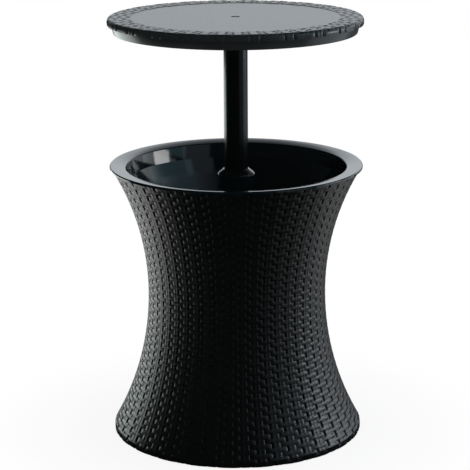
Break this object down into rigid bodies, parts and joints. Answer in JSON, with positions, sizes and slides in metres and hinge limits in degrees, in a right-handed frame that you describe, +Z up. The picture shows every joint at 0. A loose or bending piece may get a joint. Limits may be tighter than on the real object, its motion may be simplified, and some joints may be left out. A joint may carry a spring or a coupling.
{
  "type": "cooler table",
  "caption": "Round hourglass patio table with woven-look case, an open ice bucket under the rim and a round table-top lid that rises on a central twist-lock pole.",
  "frame": {"origin": "centre of the footprint, on the floor", "axes": "+Z up along the pole; -Y is the side that the picture shows; the drain lies between +X and +Y"},
  "size_m": [0.4999, 0.5, 0.836],
  "materials": {
    "woven_resin": "moulded weave, satin",
    "lid_resin": "moulded, fine grain",
    "bucket_resin": "smooth gloss",
    "collar_resin": "smooth gloss",
    "hidden_resin": "moulded",
    "bearing_resin": "smooth, slippery",
    "pole_enamel": "gloss black enamel",
    "tube_aluminium": "drawn",
    "screw_steel": "zinc plated",
    "seal_rubber": "matt"
  },
  "bodies": {
    "base": {"base_plate": "hidden_resin", "lower_skirt": "woven_resin", "upper_skirt": "woven_resin", "base_screws": "screw_steel", "bucket_liner": "bucket_resin", "bucket_jacket": "hidden_resin", "guide_tube": "tube_aluminium", "tube_foot": "hidden_resin", "tube_pin": "screw_steel", "foot_screws": "screw_steel", "guide_bush": "bearing_resin", "collar_gasket": "seal_rubber", "pole_collar": "collar_resin", "drain_spout": "hidden_resin", "drain_gasket": "seal_rubber", "drain_pipe": "hidden_resin", "drain_nut": "hidden_resin"},
    "lift_lock": {"lock_sleeve": "bearing_resin"},
    "lid": {"pole": "pole_enamel", "pole_foot": "bearing_resin", "pole_insert": "hidden_resin", "pole_flange": "hidden_resin", "flange_screws": "screw_steel", "lid_lower_shell": "lid_resin", "lid_top": "lid_resin", "lid_screws": "screw_steel", "centre_bolt": "screw_steel", "centre_cap": "lid_resin"},
    "plug": {"drain_plug": "seal_rubber"}
  },
  "joints": [
    {"name": "lid_lift", "type": "slide", "parent": "base", "child": "lift_lock", "axis": [0, 0, 1], "range_m": [-0.262, 0]},
    {"name": "lid_twist", "type": "hinge", "parent": "lift_lock", "child": "lid", "pos_m": [0, 0, 0.4], "axis": [0, 0, 1], "range_deg": [0, 90]},
    {"name": "plug_pull", "type": "slide", "parent": "base", "child": "plug", "axis": [0, 0, 1], "range_m": [0, 0.06]}
  ]
}
